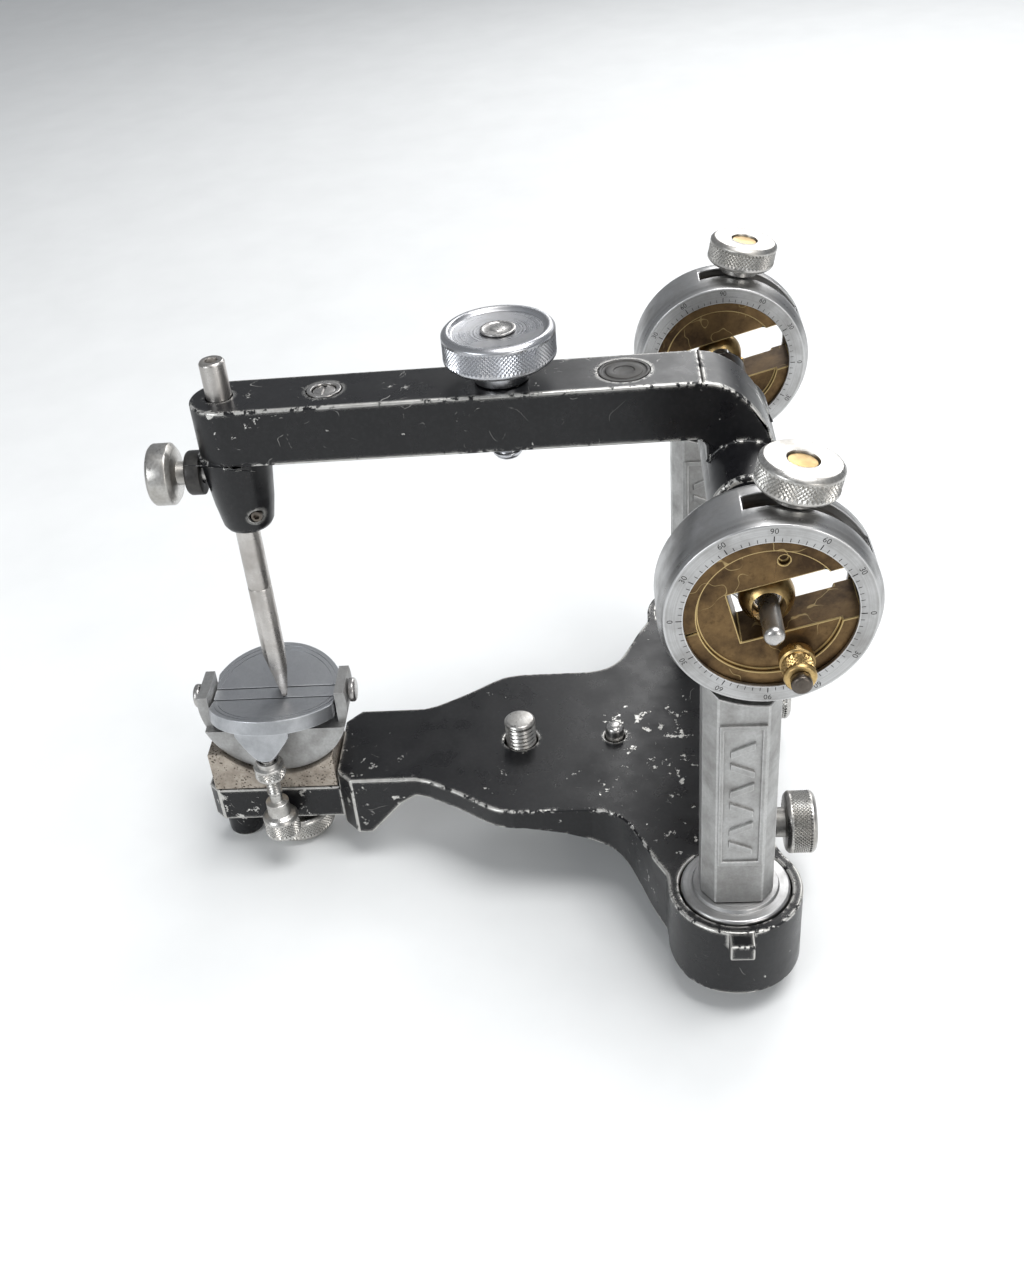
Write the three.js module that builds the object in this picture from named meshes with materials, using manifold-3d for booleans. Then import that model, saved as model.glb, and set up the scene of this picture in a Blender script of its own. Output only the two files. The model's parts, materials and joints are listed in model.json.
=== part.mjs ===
// Dental articulator with a condylar track on each side, in millimetres.
// +Z is up, -Y is the front (incisal pin), +X is to the right when the instrument is seen from the front.
// Z = 0 is the underside of the feet. Y is measured from the middle of the overall length.
import * as THREE from 'three';
import { mergeVertices } from 'three/addons/utils/BufferGeometryUtils.js';
import Module from 'manifold-3d';

const wasm = await Module();
wasm.setup();

const DEGREE = Math.PI / 180;

// The condylar axis, and what is measured from it
const AXIS_BEHIND_MIDDLE = 60;
const AXIS_Z = 109;
const BALL_X = 56.5;             // half the distance between the two condylar balls
const POST_Y = -4.5;
const TRACK_PITCH = 15 * DEGREE; // slope of the tracks as drawn, and of the table wings
const NUT_LEAN = -11 * DEGREE;
const LOCK_Y = 5.4;
const LOCK_Z = AXIS_Z - 10.5;

// Incisal guide
const ROCKER_Y = -120;
const ROCKER_Z = 47;
const WING_X = 15;
const WING_Y = ROCKER_Y - 1.5;
const WING_EDGE_X = 2.6;
const GUIDE_CLAMP_Y = -120.5;
const STRIP_HALF = 16.5;

// Lower frame
const PLATE_SCREW_Y = -56;
const DOWEL_Y = -31;
const POST_LOCK_X = 27;
const POST_LOCK_Z = 20;
const FRONT_LEG_Y = -136.5;

// Upper frame
const ARM_HALF = 8.5;
const ARM_UNDER = 118.5;
const ARM_TOP = 132.5;
const PIN_Y = -118;
const BOSS_Y = -117;
const CLAMP_Z = 113.5;
const INSERT_Y = -93.5;
const ARM_SCREW_Y = -53;
const BADGE_Y = -25.8;
const SET_SCREW_Y = -113.5;
const SET_SCREW_Z = 104;

// ---------- geometry helpers ----------
const X_AXIS = new THREE.Vector3(1, 0, 0);
const Y_AXIS = new THREE.Vector3(0, 1, 0);
const Z_AXIS = new THREE.Vector3(0, 0, 1);

// welds the vertices and drops triangles that have lost their area
const clean = (geometry) => {
  geometry.deleteAttribute('normal');
  geometry.deleteAttribute('uv');
  const merged = mergeVertices(geometry, 1e-4);
  const from = merged.index.array;
  const kept = [];
  for (let i = 0; i < from.length; i += 3) {
    const [a, b, c] = [from[i], from[i + 1], from[i + 2]];
    if (a !== b && b !== c && a !== c) kept.push(a, b, c);
  }
  merged.setIndex(kept);
  return merged;
};

const solid = (geometry) => {
  const welded = clean(geometry);
  const vertProperties = new Float32Array(welded.attributes.position.array);
  const triVerts = new Uint32Array(welded.index.array);
  return new wasm.Manifold(new wasm.Mesh({ numProp: 3, vertProperties, triVerts }));
};

const surface = (body) => {
  const mesh = body.getMesh();
  const places = new Float32Array(mesh.numVert * 3);
  for (let i = 0; i < mesh.numVert; i++) {
    for (let k = 0; k < 3; k++) places[3 * i + k] = mesh.vertProperties[i * mesh.numProp + k];
  }
  const geometry = new THREE.BufferGeometry();
  geometry.setAttribute('position', new THREE.BufferAttribute(places, 3));
  geometry.setIndex(Array.from(mesh.triVerts));
  return geometry;
};

const turnAxes = (geometry, x, y, z) => geometry.applyMatrix4(new THREE.Matrix4().makeBasis(x, y, z));
const alongX = (geometry) => turnAxes(geometry, Y_AXIS, Z_AXIS, X_AXIS);
const alongY = (geometry) => turnAxes(geometry, Z_AXIS, X_AXIS, Y_AXIS);
const at = (geometry, x, y, z) => geometry.translate(x, y, z);

// turned piece about Z: [radius, height] from the lower axis point round to the upper one
const lathe = (profile, sides = 24) => {
  const points = profile.map(([radius, height]) => new THREE.Vector2(radius, height));
  return turnAxes(new THREE.LatheGeometry(points, sides), X_AXIS, Z_AXIS, new THREE.Vector3(0, -1, 0));
};
const hollowLathe = (profile, sides = 24) => lathe([...profile, profile[0]], sides);
const rod = (radius, z0, z1, sides = 24) => lathe([[0, z0], [radius, z0], [radius, z1], [0, z1]], sides);

const plan = (points, z0, z1) => {
  const outline = new THREE.Shape(points.map(([x, y]) => new THREE.Vector2(x, y)));
  const settings = { depth: z1 - z0, bevelEnabled: false, steps: 1 };
  return new THREE.ExtrudeGeometry(outline, settings).translate(0, 0, z0);
};
// outline of [y, z] drawn out from x0 to x1
const sideView = (points, x0, x1) => alongX(plan(points, x0, x1));

const box = (x0, x1, y0, y1, z0, z1) => {
  const block = new THREE.BoxGeometry(x1 - x0, y1 - y0, z1 - z0);
  return block.translate((x0 + x1) / 2, (y0 + y1) / 2, (z0 + z1) / 2);
};

const arc = (cx, cy, radius, start, end, steps) => Array.from({ length: steps + 1 }, (_, i) => {
  const angle = (start + (end - start) * i / steps) * Math.PI / 180;
  return [cx + radius * Math.cos(angle), cy + radius * Math.sin(angle)];
});

const flip = (geometry) => {
  const welded = clean(geometry);
  welded.scale(-1, 1, 1);
  const from = welded.index.array;
  const turned = [];
  for (let i = 0; i < from.length; i += 3) turned.push(from[i], from[i + 2], from[i + 1]);
  welded.setIndex(turned);
  return welded;
};

const root = new THREE.Group();
root.name = 'dental_articulator';

const paint = (color, roughness, metalness) => () => (
  new THREE.MeshStandardMaterial({ color, roughness, metalness })
);
const enamel = paint(0x101114, 0.35, 0.2);
const steel = paint(0xb9bcc0, 0.3, 0.95);
const cast = paint(0x9a9c9c, 0.45, 0.9);
const nickel = paint(0xc9c8c4, 0.28, 0.95);
const agedBrass = paint(0x6e5330, 0.45, 0.85);
const cleanBrass = paint(0xb08d4f, 0.3, 0.9);
const tableGrey = paint(0x8c939b, 0.4, 0.85);
const pitted = paint(0x9c9184, 0.6, 0.6);
const dark = paint(0x2a2622, 0.4, 0.7);

const put = (name, geometry, material) => {
  const welded = clean(geometry);
  welded.translate(0, AXIS_BEHIND_MIDDLE, 0);
  welded.computeVertexNormals();
  const mesh = new THREE.Mesh(welded, material());
  mesh.name = name;
  mesh.material.name = name;
  root.add(mesh);
};
const pair = (name, make, material) => {
  put(name + '_right', make(), material);
  put(name + '_left', flip(make()), material);
};

// ---------- lower member ----------
const lowerFrame = () => {
  const half = [
    [10.5, -105], [15, -101], [15, -83.5], [16.2, -80], [18.8, -75.5], [22, -70.5], [25.6, -65.6],
    [28, -61.5], [29, -57], [29, -38], [30.4, -33], [34, -29], [40, -26], [47, -23], [52.5, -20.2],
    ...arc(BALL_X, POST_Y, 15.5, -95, 128, 17), [41, 5.4], [30, 5],
  ];
  const outline = [...half, ...half.slice().reverse().map(([x, y]) => [-x, y])];
  const profile = [
    [-106, 9.5], [-97, 9.5], [-88, 19.5], [-84, 22], [-55, 22], [-45, 20], [-31, 15], [-24, 10.5],
    [-16, 7.5], [13, 7.5], [13, 28], [-106, 28],
  ];
  const ledge = [[9.5, -104.4], [-9.5, -104.4], [-9.5, -139], [-6.5, -142], [6.5, -142], [9.5, -139]];
  const leg = [[0, 0], [4.2, 0], [5, 0.9], [5.5, 11.3], [0, 11.3]];
  const bossBore = [[0, 11.6], [5.4, 11.6], [5.4, 24], [13, 24], [13, 29], [0, 29]];
  let frame = solid(plan(outline, 0, 28)).intersect(solid(sideView(profile, -80, 80)));
  frame = frame.add(solid(plan(ledge, 11, 21.5)));
  frame = frame.add(solid(at(lathe(leg, 20), 0, FRONT_LEG_Y, 0)));
  for (const hand of [1, -1]) {
    const lugEnds = [hand * 70, hand * 76];
    const lug = box(Math.min(...lugEnds), Math.max(...lugEnds), POST_Y - 2.8, POST_Y + 2.8, 23.5, 28);
    frame = frame.add(solid(lug));
    frame = frame.subtract(solid(at(lathe(bossBore, 32), hand * BALL_X, POST_Y, 0)));
    const lockBore = alongY(rod(2.8, -4.6, 8, 16));
    frame = frame.subtract(solid(at(lockBore, hand * POST_LOCK_X, 0, POST_LOCK_Z)));
  }
  frame = frame.subtract(solid(at(rod(4.5, 20, 29, 20), 0, PLATE_SCREW_Y, 0)));
  frame = frame.subtract(solid(at(rod(2.7, 22.2, 29, 16), 0, DOWEL_Y, 0)));
  frame = frame.subtract(solid(at(rod(3.3, 9, 22, 16), 0, GUIDE_CLAMP_Y, 0)));
  return surface(frame);
};
put('lower_frame', lowerFrame(), enamel);

const footProfile = [[0, 0], [7.4, 0], [8.3, 0.9], [8.3, 7.2], [0, 7.2]];
pair('rear_foot', () => at(lathe(footProfile, 24), BALL_X, POST_Y, 0), dark);

const dowelProfile = [[0, 22.5], [2.4, 22.5], [2.4, 30.9], [1.5, 31.6], [0, 31.8]];
put('locating_dowel', at(lathe(dowelProfile, 16), 0, DOWEL_Y, 0), steel);

const plateScrewProfile = [
  [0, 6.5], [9.1, 6.5], [9.9, 7.3], [9.9, 13.7], [9.1, 14.5], [5.5, 14.5], [5.5, 20.7], [4.1, 20.7],
  [4.1, 34.4], [3.5, 35], [0, 35],
];
put('lower_mounting_screw', at(lathe(plateScrewProfile, 24), 0, PLATE_SCREW_Y, 0), nickel);

const clampScrewProfile = [
  [0, 1.5], [9, 1.5], [9.8, 2.4], [9.8, 7.5], [9, 8.4], [5, 8.4], [5, 10.7], [3, 10.7], [3, 21.2],
  [0, 21.2],
];
put('guide_clamp_screw', at(lathe(clampScrewProfile, 24), 0, GUIDE_CLAMP_Y, 0), nickel);

const postLockProfile = [
  [0, -4.2], [2.5, -4.2], [2.5, 8], [3.8, 8], [3.8, 10.5], [7.1, 10.5], [7.9, 11.3], [7.9, 17],
  [7.1, 17.8], [0, 17.8],
];
const postLock = () => at(alongY(lathe(postLockProfile, 20)), POST_LOCK_X, 0, POST_LOCK_Z);
pair('post_lock_screw', postLock, nickel);

// ---------- incisal guide ----------
const guideBlock = () => {
  const cupRadius = 20.2;
  const backHalf = 14.4;
  const blockTop = 34;
  const drop = ROCKER_Z - blockTop;
  const frontHalf = Math.sqrt(cupRadius * cupRadius - drop * drop);
  const start = Math.atan2(Math.sqrt(cupRadius * cupRadius - backHalf * backHalf), backHalf) * 180 / Math.PI;
  const end = 180 - Math.atan2(drop, frontHalf) * 180 / Math.PI;
  const cup = arc(ROCKER_Y, ROCKER_Z, cupRadius, -start, -end, 12);
  return sideView([[-139.5, 21.8], [-105.6, 21.8], ...cup, [-139.5, blockTop]], -9.5, 9.5);
};
put('guide_block', guideBlock(), pitted);

const guideCradle = () => {
  const radius = 19.8;
  const earAngle = 10.2;
  const earInside = 16.9;
  const earTop = ROCKER_Z + 3.5;
  const floor = ROCKER_Z - 6.3;
  const boat = solid(sideView(arc(ROCKER_Y, ROCKER_Z, radius, -18, -162, 12), -8, 8));
  const hollow = solid(box(-9, 9, ROCKER_Y - 18, ROCKER_Y + 18, floor, ROCKER_Z + 9));
  const earsOutline = [
    ...arc(ROCKER_Y, ROCKER_Z, radius, earAngle, -180 - earAngle, 18),
    [ROCKER_Y - earInside, earTop], [ROCKER_Y - earInside, floor],
    [ROCKER_Y + earInside, floor], [ROCKER_Y + earInside, earTop],
  ];
  return surface(boat.subtract(hollow).add(solid(sideView(earsOutline, -6, 6))));
};
put('guide_cradle', guideCradle(), cast);

const strip = box(-2.2, 2.2, ROCKER_Y - STRIP_HALF, ROCKER_Y + STRIP_HALF, 41.1, ROCKER_Z);
put('table_strip', strip, tableGrey);

const frontPivotProfile = [[0, -21.8], [2.6, -21.8], [3.2, -21.3], [3.2, -20.1], [0, -20.1]];
const rearPivotProfile = [[0, 20.1], [3.2, 20.1], [3.2, 21.3], [2.6, 21.8], [0, 21.8]];
put('front_pivot_screw', at(alongY(lathe(frontPivotProfile, 16)), 0, ROCKER_Y, ROCKER_Z), steel);
put('rear_pivot_screw', at(alongY(lathe(rearPivotProfile, 16)), 0, ROCKER_Y, ROCKER_Z), steel);

const tableWing = () => {
  const radius = 18.2;
  const thickness = 4;
  const hingeZ = 46.7;
  const sweep = Math.asin(STRIP_HALF / radius) * 180 / Math.PI;
  const outline = [
    [WING_EDGE_X, ROCKER_Y - STRIP_HALF], ...arc(0, ROCKER_Y, radius, -sweep, sweep, 14),
    [WING_EDGE_X, ROCKER_Y + STRIP_HALF],
  ];
  const plate = plan(outline, ROCKER_Z - thickness, ROCKER_Z);
  plate.translate(-WING_EDGE_X, 0, -hingeZ).rotateY(-TRACK_PITCH).translate(WING_EDGE_X, 0, hingeZ);
  const coneProfile = [[0, 37.6], [2.7, 37.6], [7.3, 44.6], [7.3, 46.9], [0, 46.9]];
  const cone = solid(at(lathe(coneProfile, 20), WING_X, WING_Y, 0));
  const inside = solid(at(rod(17.6, 30, 50, 40), 0, ROCKER_Y, 0));
  return surface(solid(plate).add(cone.intersect(inside)));
};
pair('table_wing', tableWing, tableGrey);

const wingScrewProfile = [
  [0, 11], [4.2, 11], [4.8, 11.8], [4.8, 17], [4.2, 17.8], [3.1, 18.2], [3.1, 22.2], [1.7, 22.6],
  [1.7, 25], [2, 25.3], [2, 37], [0, 37],
];
pair('wing_screw', () => at(lathe(wingScrewProfile, 20), WING_X, WING_Y, 0), nickel);

const wingNutProfile = [[2.3, 31.3], [4.1, 31.3], [4.1, 35], [3, 35.2], [3, 36.5], [2.3, 36.5]];
pair('wing_lock_nut', () => at(hollowLathe(wingNutProfile, 20), WING_X, WING_Y, 0), nickel);

// ---------- condylar posts and housings ----------
const turntableProfile = [
  [0, 12], [5, 12], [5, 24.3], [12.6, 24.3], [12.6, 28.1], [12.2, 28.6], [10, 28.6], [9.8, 29.5],
  [0, 29.5],
];
pair('turntable', () => at(lathe(turntableProfile, 32), BALL_X, POST_Y, 0), cast);

const post = () => {
  const [inner, outer] = [49, 64];
  const [front, back] = [POST_Y - 8.25, POST_Y + 8.25];
  const corner = 4.2;
  const slope = corner * 0.7;
  const section = [
    [inner + corner, front], [outer - corner, front], [outer, front + slope], [outer, back - slope],
    [outer - corner, back], [inner + corner, back], [inner, back - slope], [inner, front + slope],
  ];
  let column = solid(plan(section, 29.8, 98));
  for (const [a, b] of [[outer - 0.4, outer + 0.7], [inner - 0.7, inner + 0.4]]) {
    const rim = solid(box(a, b, POST_Y - 5, POST_Y + 5, 42, 82));
    column = column.add(rim.subtract(solid(box(a - 1, b + 1, POST_Y - 3.9, POST_Y + 3.9, 43.2, 80.8))));
  }
  return surface(column.subtract(solid(at(alongX(rod(22.3, 40, 72, 40)), 0, 0, AXIS_Z))));
};
pair('post', post, cast);

const trackHousing = () => {
  const profile = [
    [16.9, 48.5], [20.8, 48.5], [22, 51.5], [22, 61.5], [20.8, 64.5], [16.9, 64.5], [16.9, 63.4],
    [18.3, 63.4], [18.3, 49.6], [16.9, 49.6],
  ];
  const ring = solid(at(alongX(hollowLathe(profile, 44)), 0, 0, AXIS_Z));
  const slot = [...arc(0, 0, 15, 104, 28, 10), ...arc(0, 0, 25, 28, 104, 10)];
  return surface(ring.subtract(solid(at(sideView(slot, 54, 59), 0, 0, AXIS_Z))));
};
pair('track_housing', trackHousing, steel);

const guideDisc = () => {
  const profile = [
    [0, 51], [14.2, 51], [14.2, 49.8], [18, 49.8], [18, 63.2], [14.2, 63.2], [14.2, 62], [0, 62],
  ];
  const slotHalf = 5.85;
  const slotOutline = [[-7.1, -slotHalf], [21, -slotHalf], [21, slotHalf], [-7.1, slotHalf]];
  const slot = sideView(slotOutline, 45, 70).rotateX(TRACK_PITCH).translate(0, 0, AXIS_Z);
  const studBore = rod(2.3, 13.8, 20, 16).rotateX(NUT_LEAN).translate(BALL_X, 0, AXIS_Z);
  const pinhole = at(alongX(rod(1.1, 60.5, 63, 12)), 0, 2.4, AXIS_Z + 11.4);
  const disc = solid(at(alongX(lathe(profile, 44)), 0, 0, AXIS_Z));
  return surface(disc.subtract(solid(slot)).subtract(solid(studBore)).subtract(solid(pinhole)));
};
pair('guide_disc', guideDisc, agedBrass);

const trackNutProfile = [
  [0, 14.1], [2, 14.1], [2, 22.4], [4.7, 22.4], [4.9, 24.4], [7.5, 24.4], [8.3, 25.2], [8.3, 29.8],
  [7.5, 30.6], [3.2, 30.6], [3.2, 29.4], [0, 29.4],
];
const overHousing = (profile, sides) => (
  lathe(profile, sides).rotateX(NUT_LEAN).translate(BALL_X, 0, AXIS_Z)
);
const nutCoreProfile = [[0, 29.6], [2.9, 29.6], [2.9, 30.2], [0, 30.2]];
pair('track_nut', () => overHousing(trackNutProfile, 24), nickel);
pair('track_nut_core', () => overHousing(nutCoreProfile, 16), cleanBrass);

const centricLockProfile = [
  [0, 62.3], [2.1, 62.3], [2.1, 63.5], [3.6, 63.5], [3.6, 65.7], [3.1, 66], [3.3, 66.5], [3.3, 70.4],
  [2.9, 71], [0, 71],
];
const lockTipProfile = [[0, 71.2], [2.1, 71.2], [2.1, 73], [1.6, 73.4], [0, 73.4]];
pair('centric_lock', () => at(alongX(lathe(centricLockProfile, 20)), 0, LOCK_Y, LOCK_Z), cleanBrass);
pair('centric_lock_tip', () => at(alongX(lathe(lockTipProfile, 16)), 0, LOCK_Y, LOCK_Z), dark);

const condyleBall = () => {
  const radius = 5.6;
  const bore = 3.4;
  const sweep = Math.asin(Math.sqrt(radius * radius - bore * bore) / radius) * 180 / Math.PI;
  return at(alongX(hollowLathe(arc(0, 0, radius, -sweep, sweep, 10), 24)), BALL_X, 0, AXIS_Z);
};
pair('condyle_ball', condyleBall, cleanBrass);

const bushProfile = [[2.4, 55.3], [3.1, 55.3], [3.1, 57.7], [2.4, 57.7]];
pair('ball_bush', () => at(alongX(hollowLathe(bushProfile, 20)), 0, 0, AXIS_Z), steel);

const axleProfile = [[0, -72], [1.2, -71.8], [2.1, -71], [2.1, 71], [1.2, 71.8], [0, 72]];
put('condylar_axle', at(alongX(lathe(axleProfile, 20)), 0, 0, AXIS_Z), steel);

// ---------- upper member ----------
const upperFrame = () => {
  const armOutline = [
    ...arc(0, -116.5, ARM_HALF, 180, 360, 14), [ARM_HALF, -9], [-ARM_HALF, -9],
  ];
  const elbow = [
    [-20, ARM_UNDER], [-9.6, ARM_UNDER], [-8.3, 117.2], [-8, 112], [-8, 107], [8.3, 107], [8.2, 112],
    [6.6, 117], [4.7, 121.7], [2.1, 125.8], [-1.2, 129.2], [-5.5, 131.7], [-9.8, ARM_TOP], [-20, ARM_TOP],
  ];
  const crossbar = [
    [0, -45.5], [5.2, -45.5], [5.6, -45], [5.6, -24.6], [8.2, -24.6], [8.8, -24], [8.8, 24],
    [8.2, 24.6], [5.6, 24.6], [5.6, 45], [5.2, 45.5], [0, 45.5],
  ];
  const pinBoss = [
    [0, 98.8], [4.6, 98.8], [6.2, 100.4], [7.2, 106], [8.1, 114], [8.4, 119], [0, 119],
  ];
  const cuts = [
    at(alongX(rod(2.4, -50, 50, 24)), 0, 0, AXIS_Z),
    at(rod(3.3, 95, 135, 24), 0, PIN_Y, 0),
    at(rod(3.7, 115, 135, 20), 0, ARM_SCREW_Y, 0),
    at(rod(4.3, 131.2, 135, 20), 0, INSERT_Y, 0),
    at(rod(6, 131.8, 135, 24), 0, BADGE_Y, 0),
    at(alongY(rod(2.3, -128, -118, 16)), 0, 0, CLAMP_Z),
    at(alongX(rod(1.7, 3.9, 9, 12)), 0, SET_SCREW_Y, SET_SCREW_Z),
  ];
  let frame = solid(plan(armOutline, ARM_UNDER, ARM_TOP));
  frame = frame.add(solid(sideView(elbow, -ARM_HALF, ARM_HALF)));
  frame = frame.add(solid(at(alongX(lathe(crossbar, 28)), 0, 0, AXIS_Z)));
  frame = frame.add(solid(at(lathe(pinBoss, 24), 0, BOSS_Y, 0)));
  for (const hole of cuts) frame = frame.subtract(solid(hole));
  return surface(frame);
};
put('upper_frame', upperFrame(), enamel);

const insertRingProfile = [[2.9, 131.5], [4, 131.5], [4, 132.8], [2.9, 132.8]];
put('arm_insert_ring', at(hollowLathe(insertRingProfile, 20), 0, INSERT_Y, 0), steel);

const insertScrew = solid(at(rod(2.6, 131.5, 132.4, 16), 0, INSERT_Y, 0));
const screwSlot = solid(box(-3, 3, INSERT_Y - 0.4, INSERT_Y + 0.4, 132, 133));
put('arm_insert_screw', surface(insertScrew.subtract(screwSlot)), steel);

put('arm_badge', at(rod(5.7, 132.1, 132.6, 24), 0, BADGE_Y, 0), enamel);
put('boss_set_screw', at(alongX(rod(1.4, 4.2, 6, 12)), 0, SET_SCREW_Y, SET_SCREW_Z), dark);

const armScrewProfile = [
  [0, 113.4], [2.6, 113.4], [3.4, 114.4], [3.4, 132.8], [6.2, 132.8], [6, 137.3], [11.8, 137.3],
  [12.7, 138.2], [12.7, 144], [11.9, 144.8], [11, 144.8], [10.4, 143.9], [0, 143.9],
];
put('upper_mounting_screw', at(lathe(armScrewProfile, 28), 0, ARM_SCREW_Y, 0), nickel);
put('upper_mounting_cap', at(rod(4, 144.1, 144.5, 20), 0, ARM_SCREW_Y, 0), steel);

const pinProfile = [
  [0, 47.5], [0.6, 47.6], [3, 61], [3, 141], [2.6, 141.5], [1.5, 141.5], [1.5, 139.8], [0, 139.8],
];
put('incisal_pin', at(lathe(pinProfile, 20), 0, PIN_Y, 0), steel);

const collarProfile = [[2.6, -129.2], [4.9, -129.2], [5.3, -128.6], [5.3, -125.5], [2.6, -125.5]];
put('pin_clamp_collar', at(alongY(hollowLathe(collarProfile, 20)), 0, 0, CLAMP_Z), enamel);

const pinClampProfile = [
  [0, -138], [6.7, -138], [7.4, -137.2], [7.4, -133], [6, -131.9], [2.8, -131.7], [2.8, -129.5],
  [2, -129.5], [2, -121.6], [0, -121.6],
];
put('pin_clamp_screw', at(alongY(lathe(pinClampProfile, 24)), 0, 0, CLAMP_Z), nickel);

export default root;
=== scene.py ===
import math

import bmesh
import bpy
from mathutils import Matrix, Vector
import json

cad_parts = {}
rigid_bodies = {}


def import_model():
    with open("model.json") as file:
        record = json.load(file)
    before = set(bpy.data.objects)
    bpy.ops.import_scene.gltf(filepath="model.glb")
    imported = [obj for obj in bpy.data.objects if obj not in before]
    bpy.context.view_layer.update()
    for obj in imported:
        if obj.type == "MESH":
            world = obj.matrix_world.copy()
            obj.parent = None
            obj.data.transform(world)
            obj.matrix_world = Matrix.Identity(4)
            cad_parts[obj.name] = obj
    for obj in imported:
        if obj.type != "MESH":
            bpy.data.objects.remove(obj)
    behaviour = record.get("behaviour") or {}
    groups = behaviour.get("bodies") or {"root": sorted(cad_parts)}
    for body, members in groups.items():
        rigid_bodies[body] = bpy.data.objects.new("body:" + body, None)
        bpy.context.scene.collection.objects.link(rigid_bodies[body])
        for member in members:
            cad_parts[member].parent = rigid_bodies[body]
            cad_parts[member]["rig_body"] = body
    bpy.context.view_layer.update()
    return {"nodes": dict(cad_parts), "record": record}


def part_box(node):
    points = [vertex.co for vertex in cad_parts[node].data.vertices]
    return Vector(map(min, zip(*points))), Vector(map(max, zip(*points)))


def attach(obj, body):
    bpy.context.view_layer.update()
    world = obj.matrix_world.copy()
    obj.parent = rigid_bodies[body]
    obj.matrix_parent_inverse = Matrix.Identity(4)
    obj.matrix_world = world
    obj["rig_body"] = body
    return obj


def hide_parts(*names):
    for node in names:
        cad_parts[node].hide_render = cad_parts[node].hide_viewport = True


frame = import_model()
MM = 0.001


# ---- Bench top, light and camera --------------------------------------------------------
# The instrument stands on a plain, flat, pale bench top. Four large soft lights hang round it,
# and the camera looks down on its right-hand side.
def mesh_piece(name, points, faces):
    """A new object with its points given in millimetres."""
    mesh = bpy.data.meshes.new(name)
    mesh.from_pydata([[c * MM for c in p] for p in points], [], faces)
    mesh.update()
    piece = bpy.data.objects.new(name, mesh)
    bpy.context.scene.collection.objects.link(piece)
    return piece


def add(tree, kind, inputs=None, out=0, **settings):
    """A new node. Inputs are given by name or number, as a value or as another node's output."""
    made = tree.nodes.new(kind)
    for key, value in settings.items():
        setattr(made, key, value)
    for key, value in (inputs or {}).items():
        if isinstance(value, bpy.types.NodeSocket):
            tree.links.new(value, made.inputs[key])
        else:
            made.inputs[key].default_value = value
    return made.outputs[out]


def maths(tree, operation, first, second=0.0, third=0.0):
    return add(tree, "ShaderNodeMath", {0: first, 1: second, 2: third}, operation=operation)


def mixed(tree, share, first, second):
    """A colour that goes from the first to the second as share goes from 0 to 1."""
    return add(tree, "ShaderNodeMix", {0: share, 6: first, 7: second}, out=2, data_type="RGBA")


def ramp(tree, value, start, end, low=0.0, high=1.0):
    """Value stretched so that start gives low and end gives high, and held outside them."""
    return add(tree, "ShaderNodeMapRange", {0: value, 1: start, 2: end, 3: low, 4: high})


def noise(tree, where, scale, detail=4.0, rough=0.55):
    return add(tree, "ShaderNodeTexNoise",
               {"Vector": where, "Scale": scale, "Detail": detail, "Roughness": rough})


def new_finish(name, colour, metallic, roughness):
    """A material with its tree, its shader and the piece's own coordinates."""
    finish = bpy.data.materials.new(name)
    finish.use_nodes = True
    finish.diffuse_color = (*colour, 1)
    tree = finish.node_tree
    shader = tree.nodes["Principled BSDF"]
    shader.inputs["Base Color"].default_value = (*colour, 1)
    shader.inputs["Metallic"].default_value = metallic
    shader.inputs["Roughness"].default_value = roughness
    where = add(tree, "ShaderNodeTexCoord", out=3)
    return finish, tree, shader, where


def bumped(tree, shader, height, distance, strength=1.0):
    normal = add(tree, "ShaderNodeBump", {"Height": height, "Distance": distance, "Strength": strength})
    tree.links.new(normal, shader.inputs["Normal"])


bench_finish, tree, shader, where = new_finish("pale_bench", (0.83, 0.84, 0.84), 0.0, 0.5)
speckle = ramp(tree, noise(tree, where, 30.0, 8.0), 0.3, 0.7)
tree.links.new(mixed(tree, speckle, (0.82, 0.83, 0.83, 1), (0.86, 0.87, 0.87, 1)),
               shader.inputs["Base Color"])
bench = mesh_piece("bench_top", [(-3000, -3000, 0), (3000, -3000, 0), (3000, 3000, 0), (-3000, 3000, 0)],
                   [(0, 1, 2, 3)])
bench.data.materials.append(bench_finish)


def soft_light(name, place, size, power, colour=(1, 1, 1)):
    """A square lamp that faces the middle of the instrument."""
    lamp = bpy.data.lights.new(name, "AREA")
    lamp.size = size
    lamp.energy = power
    lamp.color = colour
    holder = bpy.data.objects.new(name, lamp)
    bpy.context.scene.collection.objects.link(holder)
    holder.location = place
    aim = Vector((0, 0, 0.07)) - holder.location
    holder.rotation_euler = aim.to_track_quat("-Z", "Y").to_euler()


soft_light("ceiling_light", (0.1, 0.25, 0.95), 0.55, 7.5)
soft_light("window_light", (0.75, -0.75, 0.55), 0.5, 4.5, (0.95, 0.98, 1.0))
soft_light("side_light", (0.8, 0.6, 0.35), 0.35, 2.2, (1.0, 0.98, 0.95))
soft_light("back_light", (-0.8, 0.3, 0.6), 0.6, 4.0)
world = bpy.data.worlds.new("studio")
world.use_nodes = True
world.node_tree.nodes["Background"].inputs["Color"].default_value = (0.9, 0.93, 0.97, 1)
world.node_tree.nodes["Background"].inputs["Strength"].default_value = 0.34
bpy.context.scene.world = world
bpy.context.scene.view_settings.view_transform = "Standard"

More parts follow.
